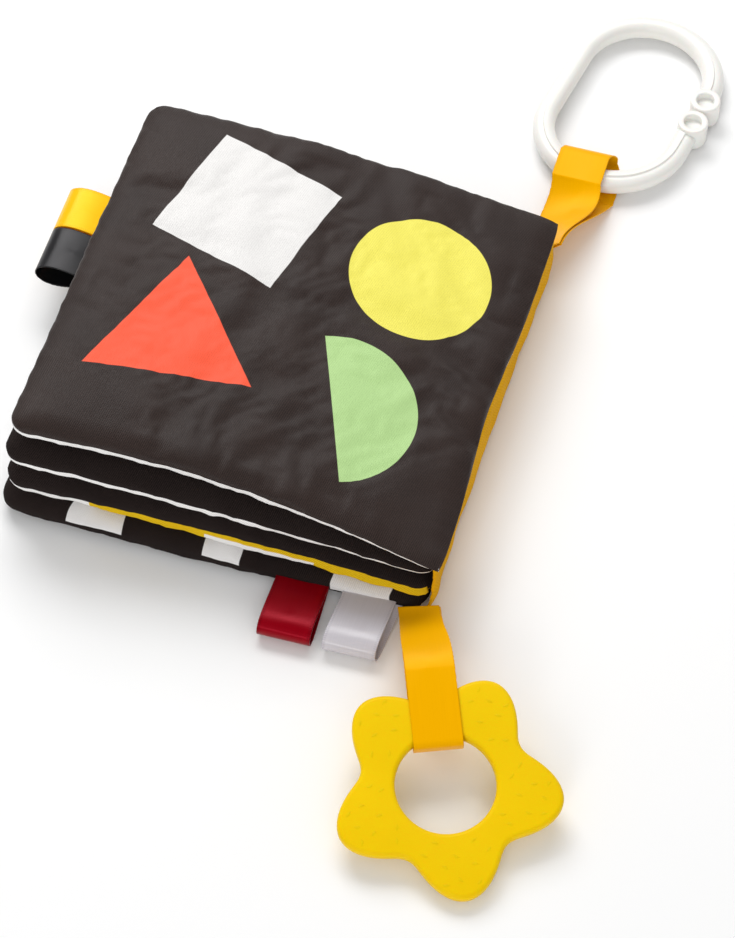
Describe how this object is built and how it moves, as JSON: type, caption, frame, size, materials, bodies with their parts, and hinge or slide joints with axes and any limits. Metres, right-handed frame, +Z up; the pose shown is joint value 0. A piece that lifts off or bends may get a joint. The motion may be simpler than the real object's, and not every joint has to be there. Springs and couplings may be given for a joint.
{
  "type": "soft cloth baby book",
  "caption": "Soft padded cloth baby book with hinged leaves, folded satin tags, a flower teether held in a ribbon loop and a plastic link ring held in another.",
  "frame": {"origin": "on the back cover's flat underside, below the middle of the front cover, with the book closed and lying on its back cover", "axes": "+Z up through the closed leaves, +X towards the spine, +Y along the spine away from the teether and towards the link ring"},
  "size_m": [0.1995, 0.3232, 0.0405],
  "materials": {
    "black_cloth": "matt black woven polyester",
    "white_cloth": "matt white woven polyester",
    "yellow_cloth": "soft yellow woven polyester",
    "wadding": "lofted polyester fibre",
    "yellow_satin": "glossy yellow satin ribbon",
    "black_satin": "glossy black satin ribbon",
    "red_satin": "glossy red satin ribbon",
    "white_satin": "glossy white satin ribbon",
    "silicone": "satin moulded silicone rubber",
    "ring_plastic": "glossy injection moulded plastic"
  },
  "bodies": {
    "back_cover": {"back_cover_inner_cloth": "black_cloth", "back_cover_outer_cloth": "black_cloth", "back_cover_wadding": "wadding", "back_cover_spine_cloth": "yellow_cloth", "red_tag": "red_satin", "white_tag": "white_satin"},
    "leaf_three": {"leaf_three_upper_cloth": "black_cloth", "leaf_three_lower_cloth": "yellow_cloth", "leaf_three_wadding": "wadding", "leaf_three_spine_cloth": "yellow_cloth", "yellow_tag": "yellow_satin", "black_tag": "black_satin"},
    "leaf_two": {"leaf_two_upper_cloth": "black_cloth", "leaf_two_lower_cloth": "white_cloth", "leaf_two_wadding": "wadding", "leaf_two_spine_cloth": "yellow_cloth"},
    "front_cover": {"front_cover_outer_cloth": "black_cloth", "front_cover_inner_cloth": "white_cloth", "front_cover_wadding": "wadding", "front_cover_spine_cloth": "yellow_cloth"},
    "teether_ribbon": {"teether_ribbon": "yellow_satin"},
    "flower_teether": {"flower_teether": "silicone"},
    "ring_ribbon": {"ring_ribbon": "yellow_satin"},
    "link_ring": {"link_ring": "ring_plastic"}
  },
  "joints": [
    {"name": "leaf_three_turn", "type": "hinge", "parent": "back_cover", "child": "leaf_three", "pos_m": [0.065, 0, 0.0061], "axis": [0, 1, 0], "range_deg": [0, 85]},
    {"name": "leaf_two_turn", "type": "hinge", "parent": "leaf_three", "child": "leaf_two", "pos_m": [0.065, 0, 0.0123], "axis": [0, 1, 0], "range_deg": [0, 85]},
    {"name": "front_cover_turn", "type": "hinge", "parent": "leaf_two", "child": "front_cover", "pos_m": [0.065, 0, 0.0185], "axis": [0, 1, 0], "range_deg": [0, 130]},
    {"name": "teether_ribbon_lift", "type": "hinge", "parent": "back_cover", "child": "teether_ribbon", "pos_m": [0.0602, -0.06942, 0.00632], "axis": [-0.8824, 0, -0.4706], "range_deg": [0, 70]},
    {"name": "flower_teether_turn", "type": "hinge", "parent": "teether_ribbon", "child": "flower_teether", "pos_m": [0.08359, -0.12391, 0.0092], "axis": [0.0796, -0.1921, 0.9781], "continuous": true},
    {"name": "ring_ribbon_lift", "type": "hinge", "parent": "back_cover", "child": "ring_ribbon", "pos_m": [0.0609, 0.06308, 0.0086], "axis": [0.7071, 0, 0.7071], "range_deg": [0, 70]},
    {"name": "link_ring_swing", "type": "hinge", "parent": "ring_ribbon", "child": "link_ring", "pos_m": [0.06523, 0.09882, 0.00476], "axis": [0.9848, -0.1736, 0], "range_deg": [0, 20]}
  ]
}
